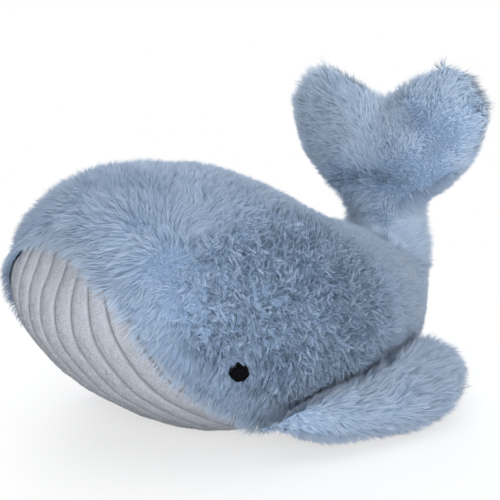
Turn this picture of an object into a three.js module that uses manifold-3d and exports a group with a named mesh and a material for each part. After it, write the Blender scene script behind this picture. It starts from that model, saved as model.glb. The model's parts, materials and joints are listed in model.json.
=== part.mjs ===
// A plush whale that lies on its belly with its tail raised.
// Millimetres, +Z up. The nose points to -X and the whale's left side is -Y.
// Every stuffed form has a core of stuffing, and sewn panels lie on the core.
// A panel's thickness takes in its cloth and the dense part of its pile.

import * as THREE from 'three';
import { mergeVertices } from 'three/addons/utils/BufferGeometryUtils.js';
import Module from 'manifold-3d';

const wasm = await Module();
wasm.setup();

const { degToRad, lerp, clamp, smoothstep } = THREE.MathUtils;

// Driving sizes of the body, measured on its stuffing

const coreLength = 284;
const coreHeight = 137;
const coreWidth = 163;
const coreLift = 4.6;

// Cloths of the body

const pileThickness = 7.5;
const pressedHeight = 16;
const furEdgeRound = 9;
const ribPitch = 12;
const ribHeight = 1.7;
const ribCount = 11;

// Tail fluke, measured on its stuffing

const flukeWidth = 152;
const flukeHeight = 94;
const flukeNeckWidth = 46;
const flukeNeckDepth = 34;
const flukeLobeDepth = 22;
const flukeCreaseWidth = 12;
const flukePile = 6;
const flukeLean = degToRad(5.5);
const tailAxisRise = 12.35;
const tailAxisInset = 13.4;

// Flippers, measured on their stuffing

const flipperLength = 114;
const flipperChord = 45;
const flipperDepth = 21;
const flipperRootLength = 34;
const flipperPile = 6;
const flipperRise = degToRad(3.5);
const flipperDroop = degToRad(25);
const flipperSeat = 1.5;
const flipperFloorGap = 0.3;
const flipperLift = degToRad(15);
const flipperDrop = degToRad(30);

// Embroidered eyes

const eyeLength = 11;
const eyeHeight = 10;
const eyeDepth = 3.6;
const eyeSink = 1.2;
const eyeArc = 82;

// Clearances

const clothGap = 0.6;
const seamGap = 0.4;
const jointGap = 0.4;
const restCut = 0.5;
const overrun = 20;
const weldDistance = 0.002;

// The rails of the body's core in side view, from the top of the throat to the top of the tail
// stock: shares of the core's length and height. The half widths are shares of half its width.
// All of them are chosen by hand.

const backRailShares = [
  [0.05, 0.79],
  [0.056, 0.85],
  [0.074, 0.905],
  [0.108, 0.955],
  [0.168, 0.99],
  [0.26, 1.0],
  [0.36, 0.985],
  [0.468, 0.905],
  [0.57, 0.8],
  [0.665, 0.72],
  [0.75, 0.672],
  [0.812, 0.625],
  [0.848, 0.575],
  [0.874, 0.55],
  [0.894, 0.58],
  [0.903, 0.65],
];
const bellyRailShares = [
  [0.05, 0.79],
  [0.03, 0.69],
  [0.008, 0.58],
  [0.014, 0.465],
  [0.05, 0.35],
  [0.112, 0.215],
  [0.22, 0.075],
  [0.33, 0.002],
  [0.5, 0.0],
  [0.66, 0.0],
  [0.785, 0.03],
  [0.884, 0.088],
  [0.957, 0.19],
  [0.991, 0.315],
  [1.0, 0.44],
  [0.997, 0.65],
];
const halfWidthShares = [
  0, 0.225, 0.405, 0.58, 0.75, 0.88, 0.97, 1, 0.93, 0.825, 0.71, 0.585, 0.47, 0.38, 0.33, 0.285,
];

// The widest line of a section lies below its middle by this share of its half height.
const sectionSagShare = 0.09;

// The throat panel's rear end as a share of the way along the rails, and its edge as shares of
// its length and half width.

const throatEndShare = 0.68;
const throatEdgeShares = [
  [0.0, 0.0],
  [0.03, 0.2],
  [0.09, 0.42],
  [0.18, 0.64],
  [0.3, 0.86],
  [0.42, 0.95],
  [0.56, 0.98],
  [0.72, 0.8],
  [0.88, 0.42],
  [1.0, 0.0],
];

// Thickness of the fur panel at its edge on the throat, as a share of the whole.
const furEdgeShare = 0.5;

// Where the eyes and the flippers sit, as shares of the way along the rails.

const eyeShare = 0.37;
const flipperShare = 0.49;

// The fluke's edge above its neck, up to the notch: shares of half its width and of its height.

const flukeEdgeShares = [
  [0.36, 0.13],
  [0.62, 0.24],
  [0.85, 0.38],
  [0.98, 0.56],
  [1.0, 0.72],
  [0.92, 0.89],
  [0.7, 0.97],
  [0.42, 0.93],
  [0.15, 0.81],
  [0.0, 0.74],
];
const flukeCreaseShare = 0.5;

// The flipper's edge in plan, from the rear end of its root round the tip to the front end:
// shares of its length behind the root's middle, and of its chord out from the root.

const flipperEdgeShares = [
  [0.36, -0.07],
  [0.6, -0.12],
  [0.8, -0.06],
  [0.95, 0.06],
  [1.0, 0.31],
  [0.94, 0.56],
  [0.78, 0.78],
  [0.55, 0.88],
  [0.32, 0.84],
  [0.1, 0.64],
  [-0.12, 0.42],
  [-0.31, 0.2],
  [-0.41, -0.1],
];
const flipperMiddleShare = [0.38, 0.42];

// Grid counts, and the share of the rails or of a turn that surface directions are measured over

const throatSteps = 13;
const rearSteps = 7;
const panelColumns = 7;
const throatCoreColumns = 3;
const columnsPerRib = 2;
const arcSamples = 96;
const flukeRays = 11;
const neckRays = 3;
const rootRays = 2;
const flipperRays = 11;
const padRingCount = 3;
const eyeSides = 12;
const sweepSteps = 4;
const roundSides = 16;
const surfaceStep = 0.001;

// Colours

const furColour = 0x8c9fbd;
const ribColour = 0xc9ccd2;
const fillColour = 0xf2efe8;
const threadColour = 0x0d0e12;

// Sizes worked out from the driving sizes

const pressedPile = coreLift + restCut;
const throatCloth = pressedPile - ribHeight;
const throatHalfWidth = (ribPitch * ribCount) / 2;
const [stockFrontShare, stockTopShare] = backRailShares.at(-1);
const tailAxisX = coreLength * stockFrontShare + tailAxisInset;
const tailAxisHeight = coreLift + coreHeight * stockTopShare + tailAxisRise;

// General helpers

const curveThrough = (points) => new THREE.CatmullRomCurve3(points, false, 'catmullrom', 0.5);
const curveOfValues = (values) => curveThrough(values.map((value) => new THREE.Vector3(value, 0, 0)));
const mirrored = (point, side) => new THREE.Vector3(point.x, side * point.y, point.z);

// A closed body from points and four-cornered faces; corners that fall together leave no face.
function solidFromFaces(points, faces) {
  const loose = new THREE.BufferGeometry().setFromPoints(points);
  loose.setIndex(faces.flatMap(([a, b, c, d]) => [a, b, c, a, c, d]));
  const geometry = mergeVertices(loose, weldDistance);
  const corners = geometry.index.array;
  const kept = [];
  for (let i = 0; i < corners.length; i += 3) {
    const [a, b, c] = corners.slice(i, i + 3);
    if (a !== b && b !== c && c !== a) kept.push(a, b, c);
  }
  geometry.setIndex(kept);
  return facingOut(geometry);
}

// Six times the volume that a closed geometry holds, below zero where its faces point inward
function signedVolume(geometry) {
  const place = geometry.getAttribute('position');
  const corners = geometry.index.array;
  const [a, b, c] = [new THREE.Vector3(), new THREE.Vector3(), new THREE.Vector3()];
  let sum = 0;
  for (let i = 0; i < corners.length; i += 3) {
    a.fromBufferAttribute(place, corners[i]);
    b.fromBufferAttribute(place, corners[i + 1]);
    c.fromBufferAttribute(place, corners[i + 2]);
    sum += a.dot(b.cross(c));
  }
  return sum;
}

function facingOut(geometry) {
  if (signedVolume(geometry) < 0) geometry.setIndex([...geometry.index.array].reverse());
  geometry.computeVertexNormals();
  return geometry;
}

// A sheet with thickness, between two grids of points; a wrapped sheet's last column is its first.
function sheetSolid(outer, inner, wrapped = false) {
  const rows = outer.length;
  const columns = outer[0].length;
  const points = [...outer.flat(), ...inner.flat()];
  const out = (row, column) => row * columns + column;
  const into = (row, column) => rows * columns + out(row, column);
  const faces = [];
  for (let row = 0; row < rows - 1; row++) {
    const below = row + 1;
    for (let column = 0; column < columns - 1; column++) {
      const next = column + 1;
      faces.push([out(row, column), out(below, column), out(below, next), out(row, next)]);
      faces.push([into(row, column), into(row, next), into(below, next), into(below, column)]);
    }
    if (wrapped) continue;
    const last = columns - 1;
    faces.push([out(row, 0), into(row, 0), into(below, 0), out(below, 0)]);
    faces.push([out(row, last), out(below, last), into(below, last), into(row, last)]);
  }
  for (let column = 0; column < columns - 1; column++) {
    const last = rows - 1;
    faces.push([out(0, column), out(0, column + 1), into(0, column + 1), into(0, column)]);
    faces.push([out(last, column), into(last, column), into(last, column + 1), out(last, column + 1)]);
  }
  return solidFromFaces(points, faces);
}

// A closed form from rings of points; each end is drawn together at its middle.
function ringSolid(rings) {
  const sum = (ring) => ring.reduce((total, point) => total.add(point), new THREE.Vector3());
  const drawnIn = (ring) => ring.map(() => sum(ring).divideScalar(ring.length));
  const closed = [drawnIn(rings[0]), ...rings, drawnIn(rings.at(-1))];
  const sides = rings[0].length;
  const corner = (row, side) => row * sides + (side % sides);
  const faces = [];
  for (let row = 0; row < closed.length - 1; row++) {
    for (let side = 0; side < sides; side++) {
      const next = side + 1;
      faces.push([corner(row, side), corner(row + 1, side), corner(row + 1, next), corner(row, next)]);
    }
  }
  return solidFromFaces(closed.flat(), faces);
}

// Joins and cuts

function toManifold(geometry) {
  const bare = geometry.clone();
  bare.deleteAttribute('normal');
  bare.deleteAttribute('uv');
  const merged = mergeVertices(bare, weldDistance);
  const vertProperties = new Float32Array(merged.getAttribute('position').array);
  const triVerts = new Uint32Array(merged.index.array);
  return new wasm.Manifold(new wasm.Mesh({ numProp: 3, vertProperties, triVerts }));
}

function fromManifold(solid) {
  const { vertProperties, triVerts } = solid.getMesh();
  const geometry = new THREE.BufferGeometry();
  geometry.setAttribute('position', new THREE.BufferAttribute(vertProperties, 3));
  geometry.setIndex([...triVerts]);
  geometry.computeVertexNormals();
  return geometry;
}

const joined = (geometries) =>
  fromManifold(geometries.map(toManifold).reduce((whole, solid) => whole.add(solid)));

function cutBy(geometry, cutters) {
  const whole = toManifold(geometry);
  return fromManifold(cutters.reduce((rest, cutter) => rest.subtract(toManifold(cutter)), whole));
}

// Body surface: a place is a share of the way along the rails and an angle up from the belly.

const toRail = ([along, up]) => new THREE.Vector3(along * coreLength, 0, coreLift + up * coreHeight);
const backRail = curveThrough(backRailShares.map(toRail));
const bellyRail = curveThrough(bellyRailShares.map(toRail));
const halfWidths = curveOfValues(halfWidthShares.map((share) => (share * coreWidth) / 2));

function bodyPoint(along, angle) {
  const top = backRail.getPoint(along);
  const bottom = bellyRail.getPoint(along);
  const rise = (1 - Math.cos(angle) - sectionSagShare * Math.sin(angle) ** 2) / 2;
  return bottom.lerp(top, rise).setY(halfWidths.getPoint(along).x * Math.sin(angle));
}

// A short way back along the body's surface
function alongBody(along, angle) {
  return bodyPoint(Math.min(1, along + surfaceStep), angle).sub(bodyPoint(along - surfaceStep, angle));
}

function bodyNormal(along, angle) {
  if (along === 0) {
    return bodyNormal(surfaceStep, 0).add(bodyNormal(surfaceStep, Math.PI)).normalize();
  }
  const around = bodyPoint(along, angle + surfaceStep).sub(bodyPoint(along, angle - surfaceStep));
  return around.cross(alongBody(along, angle)).normalize();
}

// Arc lengths up from the belly around one section, at even steps of angle
function sectionArcs(along) {
  const arcs = [0];
  let last = bodyPoint(along, 0);
  for (let i = 1; i <= arcSamples; i++) {
    const point = bodyPoint(along, (Math.PI * i) / arcSamples);
    arcs.push(arcs[i - 1] + point.distanceTo(last));
    last = point;
  }
  return arcs;
}

function angleAtArc(arcs, arc) {
  const above = arcs.findIndex((value) => value >= arc);
  if (above < 0) return Math.PI;
  if (above === 0) return 0;
  const part = (arc - arcs[above - 1]) / (arcs[above] - arcs[above - 1]);
  return (Math.PI * (above - 1 + part)) / arcSamples;
}

const throatEdge = curveThrough(
  throatEdgeShares.map(([at, share]) => new THREE.Vector3(at, share, 0)));

// Half width of the throat panel, as arc length up from the belly
function throatArc(along) {
  const at = along / throatEndShare;
  if (at <= 0 || at >= 1) return 0;
  let [low, high] = [0, 1];
  for (let i = 0; i < arcSamples; i++) {
    const middle = (low + high) / 2;
    if (throatEdge.getPoint(middle).x < at) low = middle;
    else high = middle;
  }
  return throatHalfWidth * throatEdge.getPoint(low).y;
}

// Stations stand close together where the throat panel begins.
const bodyStations = [
  ...Array.from({ length: throatSteps }, (_, i) => throatEndShare * (i / throatSteps) ** 1.5),
  ...Array.from({ length: rearSteps + 1 }, (_, i) => lerp(throatEndShare, 1, i / rearSteps)),
];

// One station's places for the fur panel, from the throat's edge or the belly seam to the back seam
function panelPlaces(along, gap = 0) {
  const arcs = sectionArcs(along);
  const edge = throatArc(along);
  const start = edge > 0 ? edge + gap : 0;
  return Array.from({ length: panelColumns + 1 }, (_, column) => {
    const arc = lerp(start, arcs.at(-1), (column / panelColumns) ** 1.2);
    return { angle: angleAtArc(arcs, arc), fromEdge: arc - edge };
  });
}

// Pile lies pressed under the belly, and draws in at the edge of the throat.
function pileAt(point, along, fromEdge) {
  const full = lerp(pressedPile, pileThickness, smoothstep(point.z - coreLift, 0, pressedHeight));
  if (throatArc(along) === 0) return full;
  return full * lerp(furEdgeShare, 1, Math.sin((Math.min(1, fromEdge / furEdgeRound) * Math.PI) / 2));
}

function bodyLayer(along, angle, height) {
  return bodyPoint(along, angle).addScaledVector(bodyNormal(along, angle), height);
}

function onSide(point, side) {
  return new THREE.Vector3(point.x, side * Math.max(seamGap / 2, point.y), point.z);
}

// Both side panels run the same way round the body, so that their facets follow the core's.
function sidePanel(side) {
  const layer = (heightOf) => bodyStations.map((along) => {
    const row = panelPlaces(along, seamGap / 2).map(({ angle, fromEdge }) =>
      onSide(bodyLayer(along, angle, heightOf(bodyPoint(along, angle), along, fromEdge)), side));
    return side < 0 ? row : row.reverse();
  });
  return sheetSolid(layer(pileAt), layer(() => clothGap));
}

function throatPanel() {
  const stations = bodyStations.filter((station) => station <= throatEndShare);
  const count = ribCount * columnsPerRib;
  const arcOf = (column) => throatHalfWidth * ((2 * column) / count - 1);
  const layer = (heightOf) => stations.map((station) => {
    const arcs = sectionArcs(station);
    const limit = Math.max(0, throatArc(station) - seamGap / 2);
    return Array.from({ length: count + 1 }, (_, column) => {
      const arc = clamp(arcOf(column), -limit, limit);
      const point = bodyLayer(station, angleAtArc(arcs, Math.abs(arc)), heightOf(arc));
      return mirrored(point, Math.sign(arc) || 1);
    });
  });
  const ribbed = (arc) =>
    throatCloth + ribHeight * Math.abs(Math.cos((Math.PI * arc) / ribPitch)) ** 1.2;
  return sheetSolid(layer(ribbed), layer(() => clothGap));
}

// Rings around the whole body at a height above the core that the place decides
function bodyRings(heightOf) {
  return bodyStations.map((along) => {
    const arcs = sectionArcs(along);
    const under = Array.from({ length: throatCoreColumns }, (_, i) =>
      angleAtArc(arcs, (throatArc(along) * i) / throatCoreColumns));
    const places = [
      ...under.map((angle) => ({ angle, fromEdge: 0 })),
      ...panelPlaces(along, seamGap / 2),
    ];
    const left = places.map(({ angle, fromEdge }) =>
      mirrored(bodyLayer(along, angle, heightOf(bodyPoint(along, angle), along, fromEdge)), -1));
    const right = left.slice(1, -1).reverse().map((point) => mirrored(point, -1));
    return [...left, ...right];
  });
}

// The whole body with its panels, grown by a clearance: it cuts what lies against the body.
const bodyEnvelope = () => ringSolid(bodyRings((...place) => pileAt(...place) + jointGap));

// Stuffed pads: a flat edge in the pad's own YZ plane, with the depth along its X

// Rings from the middle of the first face, out over the edge, to the middle of the second face
function padRings(edge, middle, halfDepth) {
  const outShares = Array.from({ length: padRingCount + 1 }, (_, i) =>
    Math.sin((Math.PI * i) / padRingCount / 2));
  const face = (out, side) => edge.map((point) =>
    middle.clone().lerp(point, out).setX(side * halfDepth(point, out)));
  const backShares = outShares.slice(0, -1).reverse();
  return [...outShares.map((out) => face(out, -1)), ...backShares.map((out) => face(out, 1))];
}

// Direction square to a ring of points that turn about it
function ringAxis(ring) {
  const crossed = ring.map((point, i) => point.clone().cross(ring[(i + 1) % ring.length]));
  return crossed.reduce((total, part) => total.add(part), new THREE.Vector3());
}

function ringNormals(rings) {
  const sides = rings[0].length;
  const last = rings.length - 1;
  return rings.map((ring, row) => {
    if (row === 0) return ring.map(() => ringAxis(rings[1]).negate().normalize());
    if (row === last) return ring.map(() => ringAxis(rings[last - 1]).normalize());
    return ring.map((_, side) => {
      const around = ring[(side + 1) % sides].clone().sub(ring[(side + sides - 1) % sides]);
      return around.cross(rings[row + 1][side].clone().sub(rings[row - 1][side])).normalize();
    });
  });
}

function grownRings(rings, height) {
  const normals = ringNormals(rings);
  return rings.map((ring, row) =>
    ring.map((point, side) => point.clone().addScaledVector(normals[row][side], height)));
}

// One face's panel of a pad, with its seam in the pad's own plane
function padPanel(rings, pile, side) {
  const layer = (height) => grownRings(rings, height)
    .filter((_, row) => side * (row - padRingCount) >= 0)
    .map((ring) => [...ring, ring[0]].map((point) =>
      new THREE.Vector3(side * Math.max(seamGap / 2, side * point.x), point.y, point.z)));
  return sheetSolid(layer(pile), layer(clothGap), true);
}

// Tail fluke: a heart-shaped pad whose round neck is a barrel about the tail's crosswise axis

const tailAxis = new THREE.Vector3(tailAxisX, 0, tailAxisHeight);
const flukeFrame = new THREE.Matrix4().makeRotationY(-flukeLean).setPosition(tailAxis);
const neckHalfWidth = flukeNeckWidth / 2;
const neckHalfDepth = flukeNeckDepth / 2;

function flukeEdge() {
  const neck = Array.from({ length: neckRays + 1 }, (_, i) => {
    const turn = (Math.PI / 2) * (i / neckRays - 1);
    return new THREE.Vector3(0, neckHalfWidth * Math.cos(turn), neckHalfDepth * Math.sin(turn));
  });
  const heart = curveThrough([
    new THREE.Vector3(0, neckHalfWidth, 0),
    ...flukeEdgeShares.map(([out, up]) =>
      new THREE.Vector3(0, (out * flukeWidth) / 2, up * flukeHeight)),
  ]);
  const upper = Array.from({ length: flukeRays }, (_, i) => heart.getPoint((i + 1) / flukeRays));
  const half = [...neck, ...upper];
  return [...half, ...half.slice(1, -1).reverse().map((point) => mirrored(point, -1))];
}

// Half depth of the fluke: round in the neck, flatter in the lobes, drawn in below the notch
function flukeHalfDepth(edge, out) {
  const fullness = lerp(2, 3, smoothstep(edge.z * out, 0, neckHalfDepth));
  const rounded = Math.sqrt(1 - out ** fullness);
  if (edge.z <= 0) return neckHalfDepth * rounded;
  const reach = edge.length() * out;
  const neckPart = Math.exp(-((reach / flukeNeckWidth) ** 2));
  const full = lerp(flukeLobeDepth / 2, neckHalfDepth, neckPart);
  const notchUp = flukeEdgeShares.at(-1)[1] * flukeHeight;
  const nearMiddle = Math.exp(-(((edge.y * out) / flukeCreaseWidth) ** 2));
  const inCrease = smoothstep(edge.z * out, notchUp / 3, notchUp) * nearMiddle;
  return full * (1 - flukeCreaseShare * inCrease) * rounded;
}

// The hollow that the fluke's neck turns in
function tailSaddle() {
  const depth = neckHalfDepth + flukePile + jointGap;
  const width = neckHalfWidth + flukePile + jointGap;
  const profile = Array.from({ length: roundSides + 1 }, (_, i) => {
    const turn = (Math.PI * i) / roundSides;
    return new THREE.Vector2(depth * Math.sin(turn), -width * Math.cos(turn));
  });
  return new THREE.LatheGeometry(profile, roundSides * 2).translate(tailAxis.x, 0, tailAxis.z);
}

// Flippers: flat pads that are sewn to the flank along a lengthwise seam, about which they turn

const flipperMiddle = new THREE.Vector3(
  0, flipperMiddleShare[0] * flipperLength, flipperMiddleShare[1] * flipperChord);

function flipperEdge() {
  const root = Array.from({ length: rootRays + 1 }, (_, i) =>
    new THREE.Vector3(0, flipperRootLength * (i / rootRays - 0.5), 0));
  const outline = curveThrough([
    root.at(-1),
    ...flipperEdgeShares.map(([along, out]) =>
      new THREE.Vector3(0, along * flipperLength, out * flipperChord)),
    root[0],
  ]);
  const round = Array.from({ length: flipperRays - 1 }, (_, i) =>
    outline.getPoint((i + 1) / flipperRays));
  return [...root, ...round];
}

const flipperHalfDepth = (_, out) => (flipperDepth / 2) * Math.sqrt(1 - out ** 3);

// Angle on the body's section where the outside of its fur stands at a height
function angleAtHeight(along, height) {
  let [low, high] = [0, Math.PI / 2];
  for (let i = 0; i < arcSamples; i++) {
    const angle = (low + high) / 2;
    if (bodyLayer(along, angle, pileThickness).z < height) low = angle;
    else high = angle;
  }
  return low;
}

// Frame of the left flipper: its own -X is up, Y runs back along the root and Z out from the flank.
function flipperFrame(rings) {
  const back = alongBody(flipperShare, Math.PI / 3);
  const level = new THREE.Vector3(back.x, -back.y, 0).normalize();
  const sideways = new THREE.Vector3(level.y, -level.x, 0);
  const backward = level.multiplyScalar(Math.cos(flipperRise));
  backward.z = Math.sin(flipperRise);
  const raised = sideways.clone().cross(backward);
  const outward = sideways.multiplyScalar(Math.cos(flipperDroop));
  outward.addScaledVector(raised, -Math.sin(flipperDroop));
  const downward = backward.clone().cross(outward);
  const turned = new THREE.Matrix4().makeBasis(downward, backward, outward);
  const outside = grownRings(rings, flipperPile).flat();
  const lowest = Math.min(...outside.map((point) => point.clone().applyMatrix4(turned).z));
  const height = flipperFloorGap - lowest;
  const angle = angleAtHeight(flipperShare, height);
  const seat = bodyLayer(flipperShare, angle, pileThickness + flipperSeat);
  return turned.setPosition(seat.x, -seat.y, height);
}

// A flipper's round root, or with a gap the groove in the flank's fur that holds it
function rootBarrel(frame, gap = 0) {
  const radius = flipperPile + gap;
  const length = flipperRootLength + 4 * flipperPile + 2 * gap;
  return new THREE.CylinderGeometry(radius, radius, length, roundSides).applyMatrix4(frame);
}

// All the room that the flank takes up about a flipper as the flipper turns through its range
function flankSweep(flank, frame) {
  const turns = Array.from({ length: sweepSteps + 1 }, (_, i) =>
    lerp(-flipperDrop, flipperLift, i / sweepSteps));
  return joined(turns.map((turn) => flank.clone()
    .applyMatrix4(frame.clone().invert())
    .rotateY(turn)
    .applyMatrix4(frame)));
}

// Eyes: a stitched oval that is let into the fur

// Frame of the left eye: Z runs out from the flank and X back along it.
function eyeFrame() {
  const angle = angleAtArc(sectionArcs(eyeShare), eyeArc);
  const outward = mirrored(bodyNormal(eyeShare, angle), -1);
  const across = outward.clone().cross(mirrored(alongBody(eyeShare, angle), -1)).normalize();
  const top = mirrored(bodyLayer(eyeShare, angle, pileThickness - eyeSink), -1);
  return new THREE.Matrix4().makeBasis(across.clone().cross(outward), across, outward).setPosition(top);
}

function eyeSolid(gap) {
  const profile = [
    new THREE.Vector2(0, -eyeDepth - gap),
    new THREE.Vector2(eyeHeight / 2 + gap, -eyeDepth - gap),
    new THREE.Vector2(eyeHeight / 2 + gap, (gap > 0 ? overrun : -eyeDepth / 2)),
    ...(gap > 0 ? [] : [new THREE.Vector2(eyeHeight / 3, -eyeDepth / 8)]),
    new THREE.Vector2(0, gap > 0 ? overrun : 0),
  ];
  return new THREE.LatheGeometry(profile, eyeSides)
    .rotateX(Math.PI / 2)
    .scale(eyeLength / eyeHeight, 1, 1);
}

// The floor cuts flat whatever the weight presses against it.
function floorBlock() {
  const side = 2 * coreLength;
  return new THREE.BoxGeometry(side * 2, side, overrun).translate(coreLength / 2, 0, -overrun / 2);
}

// Materials, one for each sub-part

const cloth = (color) => new THREE.MeshStandardMaterial({ color, roughness: 0.95, metalness: 0 });

function named(name, geometry, color) {
  const mesh = new THREE.Mesh(geometry, cloth(color));
  mesh.name = name;
  return mesh;
}

const flipSide = (geometry, side) =>
  (side < 0 ? geometry : facingOut(geometry.clone().scale(1, -1, 1)));

// Assembly

const whale = new THREE.Group();
const flipperRings = padRings(flipperEdge(), flipperMiddle, flipperHalfDepth);
const leftFlipper = flipperFrame(flipperRings);
const leftEye = eyeFrame();
const flukeRings = padRings(flukeEdge(), new THREE.Vector3(), flukeHalfDepth);
const floor = floorBlock();
const saddle = tailSaddle();
const leftCutters = [rootBarrel(leftFlipper, jointGap), eyeSolid(jointGap).applyMatrix4(leftEye)];
const flipperCutter = flankSweep(cutBy(bodyEnvelope(), [rootBarrel(leftFlipper)]), leftFlipper);

for (const [sideName, side] of [['left', -1], ['right', 1]]) {
  const cutters = leftCutters.map((cutter) => flipSide(cutter, side));
  const fur = cutBy(sidePanel(side), [...cutters, saddle, floor]);
  whale.add(named(`side_panel_${sideName}`, fur, furColour));
  whale.add(named(`eye_${sideName}`, flipSide(eyeSolid(0).applyMatrix4(leftEye), side), threadColour));
  for (const [faceName, face] of [['upper', -1], ['under', 1]]) {
    const whole = padPanel(flipperRings, flipperPile, face).applyMatrix4(leftFlipper);
    const panel = flipSide(cutBy(whole, [flipperCutter]), side);
    whale.add(named(`flipper_${sideName}_${faceName}_panel`, panel, furColour));
  }
  const fill = cutBy(ringSolid(flipperRings).applyMatrix4(leftFlipper), [flipperCutter]);
  whale.add(named(`flipper_${sideName}_stuffing`, flipSide(fill, side), fillColour));
}
whale.add(named('throat_panel', cutBy(throatPanel(), [floor]), ribColour));
whale.add(named('body_stuffing', cutBy(ringSolid(bodyRings(() => 0)), [saddle]), fillColour));
for (const [faceName, face] of [['front', -1], ['back', 1]]) {
  const panel = padPanel(flukeRings, flukePile, face).applyMatrix4(flukeFrame);
  whale.add(named(`fluke_${faceName}_panel`, panel, furColour));
}
whale.add(named('fluke_stuffing', ringSolid(flukeRings).applyMatrix4(flukeFrame), fillColour));

// The origin lies on the floor below the middle of the whole toy.
const bounds = new THREE.Box3().setFromObject(whale);
whale.position.x = -(bounds.min.x + bounds.max.x) / 2;

export default whale;
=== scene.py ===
# A plush whale: pile cloth over stuffing, ribbed throat, flippers, tail fluke and stitched eyes.

import json
import math

import bpy
import numpy as np
from bpy.props import FloatProperty, FloatVectorProperty, IntProperty, PointerProperty
from bpy.types import Operator, Panel, PropertyGroup
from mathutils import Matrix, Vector
from mathutils.bvhtree import BVHTree
from mathutils.kdtree import KDTree


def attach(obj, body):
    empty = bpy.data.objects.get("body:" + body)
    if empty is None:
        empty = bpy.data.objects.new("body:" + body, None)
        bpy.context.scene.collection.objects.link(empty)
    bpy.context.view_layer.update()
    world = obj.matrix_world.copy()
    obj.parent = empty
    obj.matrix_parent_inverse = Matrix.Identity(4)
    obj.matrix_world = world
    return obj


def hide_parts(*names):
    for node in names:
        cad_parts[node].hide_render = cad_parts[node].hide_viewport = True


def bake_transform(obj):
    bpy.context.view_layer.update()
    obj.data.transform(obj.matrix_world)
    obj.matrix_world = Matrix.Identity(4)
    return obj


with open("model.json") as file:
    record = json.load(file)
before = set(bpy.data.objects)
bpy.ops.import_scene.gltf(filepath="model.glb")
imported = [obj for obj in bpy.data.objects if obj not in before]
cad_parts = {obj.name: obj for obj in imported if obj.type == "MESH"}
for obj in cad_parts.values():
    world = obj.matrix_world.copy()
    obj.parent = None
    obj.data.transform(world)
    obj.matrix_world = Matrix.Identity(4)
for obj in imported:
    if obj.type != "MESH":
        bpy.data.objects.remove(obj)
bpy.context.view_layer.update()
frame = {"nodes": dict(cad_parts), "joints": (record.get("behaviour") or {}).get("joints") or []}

bl_info = {
    "name": "Plush whale",
    "version": (1, 0, 0),
    "blender": (4, 5, 0),
    "location": "3D View > Sidebar > Whale",
    "description": "Dresses the packed whale in its cloths, pile and stitches",
    "category": "Object",
}

# Forms of the body's stuffing that the ribs follow, in metres and in shares

CORE_LENGTH, CORE_HEIGHT, CORE_WIDTH, CORE_LIFT = 0.284, 0.137, 0.163, 0.0046
CORE_FRONT = -0.144805
BACK_RAIL_SHARES = [
    (0.05, 0.79), (0.056, 0.85), (0.074, 0.905), (0.108, 0.955), (0.168, 0.99), (0.26, 1.0),
    (0.36, 0.985), (0.468, 0.905), (0.57, 0.8), (0.665, 0.72), (0.75, 0.672), (0.812, 0.625),
    (0.848, 0.575), (0.874, 0.55), (0.894, 0.58), (0.903, 0.65),
]
BELLY_RAIL_SHARES = [
    (0.05, 0.79), (0.03, 0.69), (0.008, 0.58), (0.014, 0.465), (0.05, 0.35), (0.112, 0.215),
    (0.22, 0.075), (0.33, 0.002), (0.5, 0.0), (0.66, 0.0), (0.785, 0.03), (0.884, 0.088),
    (0.957, 0.19), (0.991, 0.315), (1.0, 0.44), (0.997, 0.65),
]
HALF_WIDTH_SHARES = [
    0, 0.225, 0.405, 0.58, 0.75, 0.88, 0.97, 1, 0.93, 0.825, 0.71, 0.585, 0.47, 0.38, 0.33, 0.285,
]
SECTION_SAG_SHARE = 0.09
THROAT_END_SHARE = 0.68
THROAT_EDGE_SHARES = [
    (0.0, 0.0), (0.03, 0.2), (0.09, 0.42), (0.18, 0.64), (0.3, 0.86),
    (0.42, 0.95), (0.56, 0.98), (0.72, 0.8), (0.88, 0.42), (1.0, 0.0),
]

FLOOR_LEVEL = 0.0003
SWELL_FRAMES = 20

# Settings in the sidebar


def number_setting(name, description, default, low=-1e6, high=1e6, **kind):
    return FloatProperty(
        name=name, description=description, default=default, min=low, max=high, **kind)


def length_setting(name, description, default, low, high, **kind):
    return number_setting(
        name, description, default, low, high, unit="LENGTH", subtype="DISTANCE", **kind)


def share_setting(name, description, default):
    return number_setting(name, description, default, 0, 1, subtype="FACTOR")


def colour_setting(name, description, default):
    return FloatVectorProperty(
        name=name, description=description, subtype="COLOR", size=3, default=default, min=0, max=1)


class PileSettings(PropertyGroup):
    length: length_setting("Length", "Length of a hair", 0.0068, 0.001, 0.03)
    depth: length_setting(
        "Depth", "How far the cloth lies below the outside of the pile", 0.0052, 0.001, 0.02)
    thickness: length_setting(
        "Thickness", "Width of a hair at its root", 0.00038, 0.0001, 0.002, precision=5)
    density: number_setting("Density", "Hairs on a square millimetre", 2.1, 0.05, 4)
    tuft: length_setting("Tuft", "Distance between tufts", 0.0018, 0.001, 0.02)
    overlap: length_setting(
        "Overlap", "How far the pile lies over the edge of the ribs", 0.0032, 0, 0.02)
    gathering: share_setting("Gathering", "How far hair tips draw together in a tuft", 0.34)
    lean: number_setting("Lean", "How far a hair leans over with the lay of the pile", 0.62, 0, 2)
    tangle: number_setting("Tangle", "How much the tufts stray from the lay", 0.38, 0, 3)
    # Dark is painted shade deep in the pile, and the colour of the darkest hairs
    dark: colour_setting("Dark", "Colour deep in the pile", (0.235, 0.345, 0.505))
    middle: colour_setting("Middle", "Colour of most hairs", (0.43, 0.55, 0.74))
    pale: colour_setting("Pale", "Colour of the palest tips", (0.64, 0.74, 0.88))


class ClothSettings(PropertyGroup):
    step: length_setting(
        "Step", "Distance between the points of a stuffed form", 0.0032, 0.002, 0.01)
    swell: length_setting(
        "Swell", "The most that the stuffing pushes the cloth out", 0.0025, 0, 0.02)
    pressure: number_setting("Pressure", "Pressure of the stuffing", 4, 0, 50)


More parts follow.
